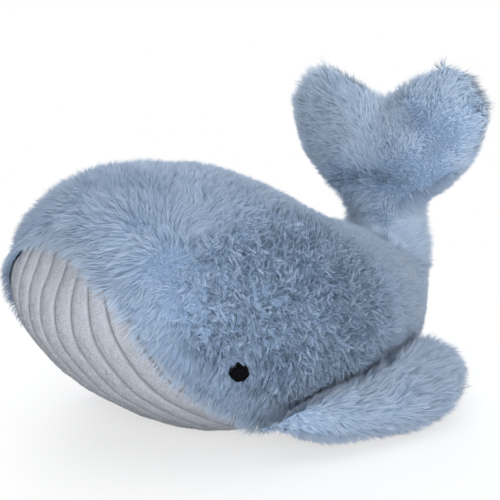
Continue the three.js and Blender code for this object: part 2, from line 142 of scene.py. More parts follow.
class ThroatSettings(PropertyGroup):
    pitch: length_setting("Pitch", "Distance between ribs", 0.012, 0.004, 0.03)
    count: IntProperty(name="Ribs", description="Number of ribs", default=11, min=3, max=31)
    top: length_setting("Top", "Height of a rib's top over the stuffing", 0.0054, 0.002, 0.02)
    groove: length_setting("Groove", "Depth of the grooves between ribs", 0.0034, 0.0005, 0.01)
    nap: length_setting("Nap", "Length of the velvety nap", 0.0008, 0.0002, 0.005)
    colour: colour_setting("Colour", "Colour of the ribs", (0.42, 0.44, 0.487))
    # Shade is painted shade in the rib grooves and at the roots of the nap
    shade: colour_setting("Shade", "Colour in the grooves", (0.24, 0.25, 0.275))


class EyeSettings(PropertyGroup):
    stitches: IntProperty(
        name="Stitches", description="Threads side by side over an eye", default=15, min=5, max=40)
    rise: length_setting("Rise", "How far the stitches crown", 0.0022, 0.0005, 0.006)
    colour: colour_setting("Colour", "Colour of the thread", (0.0022, 0.0022, 0.0027))


class StageSettings(PropertyGroup):
    azimuth: number_setting(
        "Azimuth", "Where the camera stands round the toy", math.radians(-45.9), subtype="ANGLE")
    elevation: number_setting(
        "Elevation", "Angle of the camera above the floor", math.radians(12.2), subtype="ANGLE")
    distance: length_setting(
        "Distance", "From the camera to the middle of the toy", 0.56, 0.2, 5)
    view_angle: number_setting(
        "View angle", "Angle that the camera takes in", math.radians(29.96), 0.05, 2,
        subtype="ANGLE")
    light: number_setting("Light", "Power of the lamp overhead, in watts", 4, 0)
    frontal: number_setting("Frontal", "Power of the lamp beside the camera, in watts", 16, 0)
    fill: number_setting("Fill", "Strength of the light from all around", 0.6, 0)
    white: share_setting("White", "Share of plain white in the floor near the toy", 0.62)
    near: length_setting("Near", "Where the floor starts to turn plain white", 0.22, 0, 5)
    far: length_setting("Far", "Where the floor is plain white", 0.5, 0.1, 8)


SETTINGS = {
    "whale_pile": PileSettings,
    "whale_cloth": ClothSettings,
    "whale_throat": ThroatSettings,
    "whale_eyes": EyeSettings,
    "whale_stage": StageSettings,
}

# Vectors and smooth fields


def unit(vectors):
    return vectors / np.maximum(np.linalg.norm(vectors, axis=-1, keepdims=True), 1e-12)


def dot(a, b):
    return (a * b).sum(-1, keepdims=True)


def flat_on(vectors, normals):
    """The parts of vectors that lie in the surface."""
    return vectors - dot(vectors, normals) * normals


def eased(values, low, high):
    """Nothing up to the low value, rising smoothly to one at the high value."""
    part = np.clip((values - low) / (high - low), 0, 1)
    return part * part * (3 - 2 * part)


def fading(far, reach):
    """One at no distance, a third at the reach and next to nothing at twice the reach."""
    return np.exp(-((far / reach) ** 2))


WAVES, WAVE_HEIGHT = 14, 1.4


def ripple(points, size, seed):
    """Smooth waves through space, about from -1 to 1, of that size in metres."""
    rng = np.random.default_rng(seed)
    ways = unit(rng.normal(size=(WAVES, 3))) * rng.uniform(0.6, 1.6, (WAVES, 1))
    waves = np.sin(points @ (ways * (2 * math.pi / size)).T + rng.uniform(0, 2 * math.pi, WAVES))
    return waves.sum(-1) / math.sqrt(WAVES / 2) / WAVE_HEIGHT


# Meshes and materials


def link(data, name, material=None):
    """A new object in the scene: a mesh with its material, a lamp or the camera."""
    made = bpy.data.objects.new(name, data)
    bpy.context.scene.collection.objects.link(made)
    if material:
        data.materials.append(material)
    return made


def places(mesh):
    flat = np.zeros(len(mesh.vertices) * 3)
    mesh.vertices.foreach_get("co", flat)
    return flat.reshape(-1, 3)


def corners(mesh):
    mesh.calc_loop_triangles()
    flat = np.zeros(len(mesh.loop_triangles) * 3, int)
    mesh.loop_triangles.foreach_get("vertices", flat)
    return flat.reshape(-1, 3)


def surface_normals(points, triangles):
    a, b, c = (points[triangles[:, k]] for k in range(3))
    faces = np.cross(b - a, c - a)
    total = np.zeros_like(points)
    for k in range(3):
        np.add.at(total, triangles[:, k], faces)
    return unit(total)


def mesh_of(name, points, faces):
    mesh = bpy.data.meshes.new(name)
    mesh.from_pydata(points.tolist(), [], faces.tolist())
    mesh.update()
    mesh.shade_smooth()
    return mesh


def grid_faces(rows, columns, closed=False):
    """Faces between rows of points; a closed grid joins its last column to its first."""
    index = np.arange(rows * columns).reshape(rows, columns)
    if closed:
        index = np.hstack([index, index[:, :1]])
    around = [index[:-1, :-1], index[1:, :-1], index[1:, 1:], index[:-1, 1:]]
    return np.stack(around, -1).reshape(-1, 4)


def inset(shares, rim):
    """Shares from 0 to 1 drawn in from the rim of a map."""
    return shares * (1 - 2 * rim) + rim


def add_map(mesh, name, coordinates):
    """A map from a pair of numbers for each point."""
    index = np.zeros(len(mesh.loops), int)
    mesh.loops.foreach_get("vertex_index", index)
    layer = mesh.uv_layers.new(name=name)
    layer.data.foreach_set("uv", coordinates[index].astype(np.float32).ravel())


def node(tree, kind, **values):
    made = tree.nodes.new(kind)
    for key, value in values.items():
        if key in made.inputs:
            made.inputs[key].default_value = value
        else:
            setattr(made, key, value)
    return made


BLACK, WHITE = (0, 0, 0), (1, 1, 1)


def new_material(name, roughness, sheen=0.0, tint=WHITE):
    material = bpy.data.materials.new(name)
    material.use_nodes = True
    tree = material.node_tree
    surface = tree.nodes["Principled BSDF"]
    for socket, value in (
        ("Roughness", roughness), ("Specular IOR Level", 0.2), ("Sheen Weight", sheen),
        ("Sheen Roughness", 0.4), ("Sheen Tint", (*tint, 1)),
    ):
        surface.inputs[socket].default_value = value
    return material, tree, surface


def scaled(colour, share):
    """The colour made darker, or paler up to white."""
    return [min(1, value * share) for value in colour]


def ramp(tree, factor, stops):
    made = node(tree, "ShaderNodeValToRGB")
    elements = made.color_ramp.elements
    while len(elements) < len(stops):
        elements.new(0.5)
    for element, (place, colour) in zip(elements, stops):
        element.position = place
        element.color = (*colour, 1)
    tree.links.new(factor, made.inputs["Fac"])
    return made.outputs["Color"]


def mixed(tree, factor, first, second):
    """The first colour turning to the second; each is a socket or a colour."""
    made = node(tree, "ShaderNodeMix", data_type="RGBA")
    for index, value in ((0, factor), (6, first), (7, second)):
        if isinstance(value, bpy.types.NodeSocket):
            tree.links.new(value, made.inputs[index])
        else:
            made.inputs[index].default_value = (*value, 1)
    return made.outputs[2]


def noise(tree, scale, detail=3.0):
    where = node(tree, "ShaderNodeTexCoord")
    made = node(tree, "ShaderNodeTexNoise", Scale=scale, Detail=detail, Roughness=0.6)
    tree.links.new(where.outputs["Object"], made.inputs["Vector"])
    return made.outputs["Fac"]


def bumped(tree, surface, height, distance):
    made = node(tree, "ShaderNodeBump", Strength=0.6, Distance=distance)
    tree.links.new(height, made.inputs["Height"])
    tree.links.new(made.outputs["Normal"], surface.inputs["Normal"])


def map_shares(tree, name):
    """Both numbers of a map, as sockets."""
    where = node(tree, "ShaderNodeUVMap", uv_map=name)
    split = node(tree, "ShaderNodeSeparateXYZ")
    tree.links.new(where.outputs["UV"], split.inputs["Vector"])
    return split.outputs["X"], split.outputs["Y"]


def hair_material(name, dark, middle, pale):
    """Colour from the map: its first number is the hair's tone, its second runs up the hair, which
    darkens toward its root as painted shade.
    """
    material, tree, surface = new_material(name, roughness=0.75, sheen=0.25, tint=pale)
    own_tone, up_hair = map_shares(tree, "OFBake")
    tone = ramp(tree, own_tone, [(0.0, scaled(dark, 0.55)), (0.5, middle), (1.0, pale)])
    # Painted shade: each hair darkens toward its root, deep in the pile
    depth = ramp(tree, up_hair, [(0.0, BLACK), (0.45, (0.45,) * 3), (0.95, WHITE)])
    deep = ramp(tree, own_tone, [(0.15, scaled(dark, 0.4)), (0.5, dark)])
    tree.links.new(mixed(tree, depth, deep, tone), surface.inputs["Base Color"])

    # A ribbon seen from behind has its normal turned over, and this turns it back
    shape = node(tree, "ShaderNodeNewGeometry")
    turn = node(tree, "ShaderNodeMath", operation="MULTIPLY_ADD")
    turn.inputs[1].default_value, turn.inputs[2].default_value = -2, 1
    tree.links.new(shape.outputs["Backfacing"], turn.inputs[0])
    outward = node(tree, "ShaderNodeVectorMath", operation="SCALE")
    tree.links.new(shape.outputs["Normal"], outward.inputs[0])
    tree.links.new(turn.outputs[0], outward.inputs["Scale"])
    tree.links.new(outward.outputs[0], surface.inputs["Normal"])
    return material


# Paler copies of the pile's colours: painted light that makes a piece look more brightly lit
def lit_copy(pile, share):
    return [scaled(colour, share) for colour in (pile.dark, pile.middle, pile.pale)]


def cloth_material(name, pile):
    """Knitted backing that shows deep between the hairs, coloured dark as painted shade."""
    material, tree, surface = new_material(name, roughness=0.9, sheen=0.1, tint=pile.middle)
    shade = [a + (b - a) * 0.35 for a, b in zip(pile.dark, pile.middle)]
    loops = noise(tree, 900.0)
    colour = ramp(tree, loops, [(0.3, pile.dark), (0.75, shade)])
    tree.links.new(colour, surface.inputs["Base Color"])
    bumped(tree, surface, loops, 0.0006)
    return material


# The stuffed forms that the cloths are drawn over


def node_parts(*names):
    """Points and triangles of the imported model's nodes, together."""
    points, triangles, start = [], [], 0
    for name in names:
        mesh = frame["nodes"][name].data
        points.append(places(mesh))
        triangles.append(corners(mesh) + start)
        start += len(points[-1])
    return np.vstack(points), np.vstack(triangles)


def search_tree(*names):
    points, triangles = node_parts(*names)
    return BVHTree.FromPolygons(points.tolist(), triangles.tolist())


def distances(tree, points):
    return np.array([tree.find_nearest(point)[3] for point in points.tolist()])


def swelled(form, held, cloth):
    """Blows the form up against its held seam points, and caps how far each point goes."""
    before = places(form.data)
    group = form.vertex_groups.new(name="seam")
    group.add(np.flatnonzero(held).tolist(), 1, "REPLACE")
    modifier = form.modifiers.new("stuffing", "CLOTH")
    settings = modifier.settings
    settings.use_pressure, settings.uniform_pressure_force = True, cloth.pressure
    settings.effector_weights.gravity = 0
    settings.vertex_group_mass = "seam"
    modifier.point_cache.frame_start, modifier.point_cache.frame_end = 1, SWELL_FRAMES
    for step in range(1, SWELL_FRAMES + 1):
        bpy.context.scene.frame_set(step)
    shown = form.evaluated_get(bpy.context.evaluated_depsgraph_get())
    moved = places(shown.data) - before
    form.modifiers.remove(modifier)
    form.vertex_groups.remove(group)
    bpy.context.scene.frame_set(1)
    far = np.linalg.norm(moved, axis=1, keepdims=True)
    return before + moved * np.minimum(1, cloth.swell / np.maximum(far, 1e-9))


def point_tree(points):
    tree = KDTree(len(points))
    for index, place in enumerate(points.tolist()):
        tree.insert(place, index)
    tree.balance()
    return tree


def stuffed_form(names, cloth, seams):
    """One rounded skin round the nodes: its points and triangles."""
    points, triangles = node_parts(*names)
    form = link(mesh_of("form", points, triangles), "form")
    remesh = form.modifiers.new("remesh", "REMESH")
    remesh.mode, remesh.voxel_size = "VOXEL", cloth.step
    smooth = form.modifiers.new("smooth", "SMOOTH")
    smooth.factor, smooth.iterations = 0.6, 7
    shown = form.evaluated_get(bpy.context.evaluated_depsgraph_get())
    mesh = bpy.data.meshes.new_from_object(shown)
    form.modifiers.clear()
    form.data = mesh
    skin = places(mesh)
    skin = swelled(form, seams(skin), cloth)
    triangles = corners(mesh)
    bpy.data.objects.remove(form)
    return skin, triangles


def cloth_piece(name, points, triangles, kept, material):
    """The part of a skin whose points are all kept, as a piece of its own."""
    faces = triangles[kept[triangles].all(1)]
    used, index = np.unique(faces, return_inverse=True)
    return link(mesh_of(name, points[used], index.reshape(-1, 3)), name, material)


# Hair, with its rows of points at shares of its length

HAIR_ROWS = (0.0, 0.55, 1.0)
TIP_TAPER = 0.45
WISP_SHARE, WISP_LENGTH, WISP_PULL = 0.04, 1.12, 0.3
SWIRL_SIZE, BLOTCH_SIZE = 0.028, 0.02


def scattered(points, triangles, per_square_mm, rng):
    """Random places on a skin, with their outward directions."""
    a, b, c = (points[triangles[:, k]] for k in range(3))
    areas = np.linalg.norm(np.cross(b - a, c - a), axis=1) / 2
    count = int(areas.sum() * 1e6 * per_square_mm)
    picked = rng.choice(len(areas), count, p=areas / areas.sum())
    u, v = rng.random((2, count, 1))
    over = (u + v) > 1
    u, v = np.where(over, 1 - u, u), np.where(over, 1 - v, v)
    normals = surface_normals(points, triangles)
    n0, n1, n2 = (normals[triangles[picked, k]] for k in range(3))
    roots = a[picked] * (1 - u - v) + b[picked] * u + c[picked] * v
    return roots, unit(n0 * (1 - u - v) + n1 * u + n2 * v)


def hair_path(roots, normals, ways, lengths, lean, at):
    """A point on each hair: it stands up from the cloth and bends over."""
    up = at * (1 - 0.16 * at * lean)
    return roots + lengths * (normals * up + ways * lean * at ** 1.6)


def ribbon_mesh(name, rows, widths, tone, normals, rng):
    """Narrow ribbons through rows of points, each closed to a tip."""
    count, steps = len(rows[0]), len(rows) - 1
    side = unit(np.cross(rows[-1] - rows[0], unit(rng.normal(size=(count, 3)))))
    per = 2 * steps + 1
    points = np.zeros((count, per, 3))
    for k in range(steps):
        reach = side * widths * (1 - TIP_TAPER * k / steps) / 2
        points[:, 2 * k] = rows[k] - reach
        points[:, 2 * k + 1] = rows[k] + reach
    points[:, -1] = rows[-1]
    shape = []
    for k in range(steps - 1):
        shape += [2 * k, 2 * k + 1, 2 * k + 3, 2 * k + 2]
    shape += [2 * steps - 2, 2 * steps - 1, 2 * steps]
    starts = np.arange(count)[:, None] * len(shape) + 4 * np.arange(steps)
    mesh = bpy.data.meshes.new(name)
    mesh.vertices.add(count * per)
    mesh.vertices.foreach_set("co", points.ravel())
    mesh.loops.add(count * len(shape))
    index = (np.arange(count)[:, None] * per + np.array(shape)).ravel()
    mesh.loops.foreach_set("vertex_index", index)
    mesh.polygons.add(count * steps)
    mesh.polygons.foreach_set("loop_start", starts.ravel())
    mesh.update(calc_edges=True)
    mesh.shade_smooth()
    up = np.repeat(np.linspace(0, 1, steps + 1), 2)[:-1]
    chart = np.zeros((count, per, 2))
    chart[..., 0] = inset(np.clip(tone, 0, 1)[:, None], 0.01)
    chart[..., 1] = inset(up, 0.01)
    add_map(mesh, "OFBake", chart.reshape(-1, 2))
    facing = np.repeat(normals, per, axis=0)
    mesh.normals_split_custom_set_from_vertices(facing.tolist())
    return mesh


def tufts(roots, spacing, rng):
    """The nearest of some random middles for each root."""
    span = np.ptp(roots, axis=0)
    cells = np.floor((roots - roots.min(0)) / spacing).astype(int)
    across, high = (int(span[k] / spacing) + 2 for k in (1, 2))
    key = (cells[:, 0] * across + cells[:, 1]) * high + cells[:, 2]
    order = rng.permutation(len(roots))
    _, first = np.unique(key[order], return_index=True)
    middles = order[first]
    tree = point_tree(roots[middles])
    return middles, np.array([tree.find(place)[1] for place in roots.tolist()])


def grow_pile(name, roots, normals, lay, lengths, tone, tousle, pile, material, seed):
    """Hairs in tufts over the roots; tousle is 1 for ruffled, 0 for plain, less for combed."""
    rng = np.random.default_rng(seed)
    count = len(roots)
    middles, owner = tufts(roots, pile.tuft, rng)
    ruffled = tousle[:, None]
    stray = rng.normal(size=(len(middles), 3)) * pile.tangle
    swirl = np.stack([ripple(roots, SWIRL_SIZE, seed + k) for k in (1, 2, 3)], -1)
    apart = stray[owner] * (0.5 + 1.6 * ruffled) + rng.normal(size=(count, 3)) * 0.2
    ways = flat_on(lay + 0.4 * swirl + apart, normals)
    strength = np.minimum(np.linalg.norm(ways, axis=1, keepdims=True), 1.5)
    ways = unit(ways) * strength
    tall = rng.uniform(0.84, 1.12, (len(middles), 1))[owner] * rng.uniform(0.8, 1.1, (count, 1))
    wisps = rng.random((count, 1)) < WISP_SHARE
    lengths = lengths[:, None] * np.where(wisps, tall * WISP_LENGTH, tall)
    lean = pile.lean * (1 - 0.1 * ruffled)
    gathered = pile.gathering * (0.5 + 1.5 * ruffled).clip(0)
    rows = []
    for at in HAIR_ROWS:
        own = hair_path(roots, normals, ways, lengths, lean, at)
        led = own[middles][owner]
        pull = gathered * at ** 1.8 * np.where(wisps, WISP_PULL, 1)
        row = own + (led - own) * pull
        row[:, 2] = np.maximum(row[:, 2], FLOOR_LEVEL)
        rows.append(row)
    fleck = rng.normal(0, 0.1, len(middles))[owner] + rng.normal(0, 0.08, count)
    tone = tone + fleck * (0.7 + 1.3 * tousle) + 0.05 * ripple(roots, BLOTCH_SIZE, seed + 9)
    facing = unit(normals + ways * 0.3 + rng.normal(size=(count, 3)) * (0.12 + 0.18 * ruffled))
    widths = pile.thickness * rng.uniform(0.75, 1.25, (count, 1))
    return link(ribbon_mesh(name, rows, widths, tone, facing, rng), name, material)


# Surface of the body's stuffing


def curve(points, at):
    """Places on a smooth curve through the points, at shares of the way along."""
    points = np.array(points, float)
    last = len(points) - 1
    place = np.clip(at, 0, 1) * last
    index = np.minimum(np.floor(place).astype(int), last - 1)
    part = (place - index)[..., None]
    longer = np.vstack([2 * points[0] - points[1], points, 2 * points[-1] - points[-2]])
    p0, p1, p2, p3 = (longer[index + k] for k in range(4))
    t0, t1 = (p2 - p0) / 2, (p3 - p1) / 2
    second, third = 3 * (p2 - p1) - 2 * t0 - t1, 2 * (p1 - p2) + t0 + t1
    return p1 + t0 * part + second * part ** 2 + third * part ** 3


def rail(shares, along):
    spot = curve(shares, along)
    return CORE_FRONT + spot[..., 0] * CORE_LENGTH, CORE_LIFT + spot[..., 1] * CORE_HEIGHT


def core_point(along, angle):
    """A place on the stuffing: along the body, and an angle up from the belly."""
    top_x, top_z = rail(BACK_RAIL_SHARES, along)
    low_x, low_z = rail(BELLY_RAIL_SHARES, along)
    half = curve([(share,) for share in HALF_WIDTH_SHARES], along)[..., 0] * CORE_WIDTH / 2
    rise = (1 - np.cos(angle) - SECTION_SAG_SHARE * np.sin(angle) ** 2) / 2
    x, z = low_x + (top_x - low_x) * rise, low_z + (top_z - low_z) * rise
    return np.stack([x, half * np.sin(angle), z], -1)


def core_normal(along, angle):
    """The direction out of the stuffing at core_point."""
    step = 0.001
    safe = np.maximum(along, 2 * step)
    around = core_point(safe, angle + step) - core_point(safe, angle - step)
    back = core_point(np.minimum(1, safe + step), angle) - core_point(safe - step, angle)
    return unit(np.cross(around, back))


def throat_half(along):
    """Half width of the throat panel, as a share of its widest place."""
    fine = curve(THROAT_EDGE_SHARES, np.linspace(0, 1, 400))
    return np.interp(along / THROAT_END_SHARE, fine[:, 0], fine[:, 1], left=0, right=0)


def throat_sections(rows, steps):
    """Rows of places from belly to back where the throat panel lies, and each one's way round."""
    along = THROAT_END_SHARE * np.linspace(0, 1, rows) ** 1.5
    angles = np.linspace(0, math.pi, steps)
    section = core_point(along[:, None] + 0 * angles, angles + 0 * along[:, None])
    apart = np.linalg.norm(np.diff(section, axis=1, prepend=section[:, :1]), axis=2)
    return along, angles, section, np.cumsum(apart, axis=1)


def throat_edges():
    """Points over the throat panel, with how far each is in from the panel's edge."""
    throat = bpy.context.scene.whale_throat
    width = throat.pitch * throat.count / 2
    along, angles, section, arcs = throat_sections(120, 160)
    inward = throat_half(along)[:, None] * width - arcs
    wide = along[:, None] + 0 * angles
    points = section + core_normal(wide, angles + 0 * wide) * throat.top
    over = inward > 0
    points, inward = points[over], inward[over]
    return np.vstack([points, points * np.array([1, -1, 1])]), np.concatenate([inward, inward])


# Building the pieces

skins = {}

# How far from a seam, and from the bend or the floor, the cloth is held while it swells

SEAM_REACH, HELD_REACH = 0.0025, 0.003

# The way up the tail, and places along it from its joint; its pile takes over at TAIL_START

TAIL_WAY = unit(np.array([0.45, 0.0, 0.9]))
TAIL_START, BEND_START, BEND_END = -0.034, -0.016, 0.010
SIDE_PILE_END, TAIL_PILE_START, TAIL_CLOTH_START = (
    TAIL_START + 0.003, TAIL_START + 0.001, TAIL_START - 0.006)


def joint(name):
    found = next(j for j in frame["joints"] if j["name"] == name)
    return np.array(found["pos_m"], float), np.array(found["axis"], float)


def whale_form():
    """The skin of body and fluke together, made once."""
    if "form" not in skins:
        axis = joint("fluke_bend")[0]

        def seams(skin):
            x, y, z = skin.T
            back = (np.abs(y) < SEAM_REACH) & (z > 0.05) & (x < 0.09)
            bend = (np.abs(x - axis[0] - 0.1 * (z - axis[2])) < HELD_REACH) & (z > axis[2] + 0.01)
            return back | bend | (z < HELD_REACH)

        names = [name for name in frame["nodes"] if not name.startswith("flipper")]
        skins["form"] = stuffed_form(names, bpy.context.scene.whale_cloth, seams)
    return skins["form"]


THIN_SHARE, RAY_START = 0.36, 0.0004


def shrunk(points, triangles, depth):
    """The skin drawn in by the depth, or by a share of its thickness where that is less."""
    normals = surface_normals(points, triangles)
    tree = BVHTree.FromPolygons(points.tolist(), triangles.tolist())
    inside = points - normals * RAY_START
    across = [
        tree.ray_cast(start, way)[3] or 1.0
        for start, way in zip(inside.tolist(), (-normals).tolist())
    ]
    return points - normals * np.minimum(depth, THIN_SHARE * np.array(across))[:, None]


def rooted(skin, triangles, density, seed, keep):
    """Hair roots on a skin, with their outward directions, where keep says."""
    roots, normals = scattered(skin, triangles, density, np.random.default_rng(seed))
    kept = keep(roots)
    return roots[kept], normals[kept]


def eye_frame(side):
    """Middle of an eye's outer face, and its directions out, back and up."""
    spots = places(frame["nodes"][f"eye_{side}"].data)
    middle = spots.mean(0)
    _, _, ways = np.linalg.svd(spots - middle)
    out = ways[2] * (1 if ways[2][1] * middle[1] > 0 else -1)
    back = unit(flat_on(np.array([1.0, 0, 0]), out))
    up = np.cross(out, back)
    up = up * (1 if up[2] > 0 else -1)
    return middle + out * ((spots - middle) @ out).max(), out, back, up


# Sides: places are in metres from the middle of the toy, and a pair says where something
# starts and where it is full

EYE_CLEARING, FLIPPER_CLEARING, BODY_CLEARING = 0.0042, 0.0015, 0.0012
BACK_CROSSING, CLOTH_UNDER_RIBS, RIB_GAP, RIB_LIFT_REACH = 0.004, 0.0045, 0.0003, 0.004
OVER_RIBS = {"left": 1.0, "right": 0.75}
RIB_RIM, RIB_REACH, RIB_REACH_AT_BROW = (0.002, 0.008), 0.012, 0.02
BROW_FORWARD, BROW_UP = (0.05, 0.1), (0.06, 0.1)
SNOUT_FORWARD, SNOUT_UP = (0.06, 0.11), (0.08, 0.115)
REAR_BACK, REAR_UP = (0.085, 0.11), (0.045, 0.075)
RUFFLED_BACK, PAINTED_LIGHT_BACK, PAINTED_LIGHT_UP = (0.0, 0.07), (0.02, 0.08), (0.1, 0.13)
FLANK_MIDDLE, FLANK_SIZE, FLANK_RIM = (-0.05, 0.074), (0.072, 0.042), (0.8, 1.5)
BACKWARD, FORWARD = (1.0, 0.0, -0.35), (-1.0, 0.0, -0.1)
BELOW_MIDDLE = (-0.02, 0, -0.03)


def rib_finder():
    """A function that says how places on the body lie to the rib panel."""
    panels = search_tree("side_panel_left", "side_panel_right")
    throat = search_tree("throat_panel")
    spots, inward = throat_edges()
    ribbed = point_tree(spots)

    def by_ribs(starts, ways_out):
        """Whether starts are over the ribs, how far in, the way and gap there, and the lift."""
        found = [ribbed.find(start) for start in starts.tolist()]
        way = np.array([tuple(hit[0]) for hit in found]) - starts
        over = distances(throat, starts) < distances(panels, starts)
        gap = np.where(over, 0, np.linalg.norm(flat_on(way, ways_out), axis=1))
        lift = np.maximum(dot(way, ways_out)[:, 0] - RIB_GAP, 0) * fading(gap, RIB_LIFT_REACH)
        return over, inward[[hit[1] for hit in found]], way, gap, lift

    return by_ribs


def side_lay(roots, normals, over, edge, gap, eye_way, share):
    """Lay, lengths, tousle and tone of a side's hairs; share is their length over the ribs."""
    x, z = roots[:, 0], roots[:, 2]
    eye_gap = np.linalg.norm(eye_way, axis=1)
    brow = eased(-x, *BROW_FORWARD) * eased(z, *BROW_UP)
    near = fading(gap, RIB_REACH + RIB_REACH_AT_BROW * brow)

    # Longer on the snout, and shorter round the eye, near the floor and low at the rear
    lengths = np.where(over, share, 1 - 1.3 * (1 - share) * near)
    lengths *= 1 + 0.6 * eased(-x, *SNOUT_FORWARD) * eased(z, *SNOUT_UP)
    lengths *= 1 - 0.35 * fading(eye_gap, 0.0075)
    lengths *= 0.75 + 0.25 * eased(z, 0.0, 0.02)
    lengths *= 1 - 0.4 * eased(x, *REAR_BACK) * (1 - eased(z, *REAR_UP))

    flank = (x - FLANK_MIDDLE[0]) ** 2 / FLANK_SIZE[0] ** 2
    flank = flank + (z - FLANK_MIDDLE[1]) ** 2 / FLANK_SIZE[1] ** 2
    tousle = (1 - eased(np.sqrt(flank), *FLANK_RIM)) * (1 - near) * (1 - fading(eye_gap, 0.012))

    # Smooth pile lies backward, ruffled pile forward, and by the ribs all lies toward them
    middle_line = roots * np.array([1, 0, 1]) + np.array(BELOW_MIDDLE)
    clear = eased(gap, *RIB_RIM)[:, None]
    toward = unit(flat_on(middle_line - roots, normals)) * (1 - clear)
    toward = toward + unit(flat_on(edge, normals)) * clear
    backward = unit(np.array(BACKWARD)) * (0.45 * (1 - tousle[:, None]))
    forward = unit(np.array(FORWARD)) * (0.9 * tousle[:, None])
    drawn = near[:, None] * np.where(over[:, None], 1.1, 1.1 * share)
    lay = (backward + forward) * (1 - near[:, None]) + unit(toward) * drawn
    lay = lay + unit(eye_way) * (0.5 * fading(eye_gap, 0.008))[:, None]

    # Darker where it is ruffled on the mid-flank, as painted shade; paler by the ribs; paler on
    # the top and at the rear, as painted light
    tousle = tousle + 0.3 * eased(x, *RUFFLED_BACK) * (1 - tousle)
    tousle = np.where(over, -0.6, tousle)
    rough = np.maximum(tousle, 0)
    tone = 0.58 - 0.3 * rough + 0.22 * fading(gap, 0.008) + 0.07 * rough * ripple(roots, 0.009, 77)
    tone = tone + 0.1 * eased(z, *PAINTED_LIGHT_UP) + 0.35 * eased(x, *PAINTED_LIGHT_BACK)
    return lay, lengths, tousle, tone


class WHALE_OT_sides(Operator):
    """Draws pile cloth over both sides of the body"""
    bl_idname = "whale.sides"
    bl_label = "Side panels"

    def execute(self, context):
        pile = context.scene.whale_pile
        points, triangles = whale_form()
        axis = joint("fluke_bend")[0]
        flippers = search_tree(*(n for n in frame["nodes"] if n.startswith("flipper")))
        backing = cloth_material("side_backing", pile)
        hair = hair_material("side_pile", pile.dark, pile.middle, pile.pale)
        ahead = (points - axis) @ TAIL_WAY < TAIL_START
        outward = surface_normals(points, triangles)
        skin = shrunk(points, triangles, pile.depth)
        by_ribs = rib_finder()
        over_all, inside_all, _, _, lift_all = by_ribs(skin, outward)
        lifted = skin + outward * lift_all[:, None]
        for seed, (side, sign) in enumerate((("left", -1), ("right", 1))):
            half = ahead & (points[:, 1] * sign > -BACK_CROSSING)
            half &= ~over_all | (inside_all < CLOTH_UNDER_RIBS)
            cloth = cloth_piece(f"side_cloth_{side}", lifted, triangles, half, backing)
            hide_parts("body_stuffing")
            eye, out, _, _ = eye_frame(side)

            def keep(roots):
                kept = (roots[:, 1] * sign > 0) & ((roots - axis) @ TAIL_WAY < SIDE_PILE_END)
                kept &= np.linalg.norm(flat_on(roots - eye, out), axis=1) > EYE_CLEARING
                over, inside, _, _, _ = by_ribs(roots[kept], np.zeros((kept.sum(), 3)))
                kept[kept] &= ~over | (inside < pile.overlap)
                kept[kept] &= distances(flippers, roots[kept]) > FLIPPER_CLEARING
                return kept

            roots, normals = rooted(skin, triangles, pile.density, seed + 10, keep)
            over, _, edge, gap, lift = by_ribs(roots, normals)
            roots = roots + normals * lift[:, None]
            lay, lengths, tousle, tone = side_lay(
                roots, normals, over, edge, gap, flat_on(roots - eye, out), OVER_RIBS[side])
            # Painted shade darkens the pile round the eye
            tone = tone - 0.16 * fading(np.linalg.norm(roots - eye, axis=1), 0.03)
            fur = grow_pile(
                f"side_pile_{side}", roots, normals, lay, lengths * pile.length, tone, tousle,
                pile, hair, seed + 20)
            for piece in (cloth, fur):
                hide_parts(f"side_panel_{side}")
                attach(piece, "body")
        return {"FINISHED"}


# Tail: heights are along the tail from its joint, in metres

NECK_HEIGHT, NECK_REACH = -0.015, 0.02
CREASE_HEIGHT, CREASE_REACH, CREASE_HALF = 0.0115, 0.0075, 0.03
FAN_HEIGHT, LOBE_HEIGHT = (0.0, 0.03), (0.05, 0.085)
LOBE_SIDE, LOBE_UNDERSIDE = (0.03, 0.055), (0.04, 0.06)


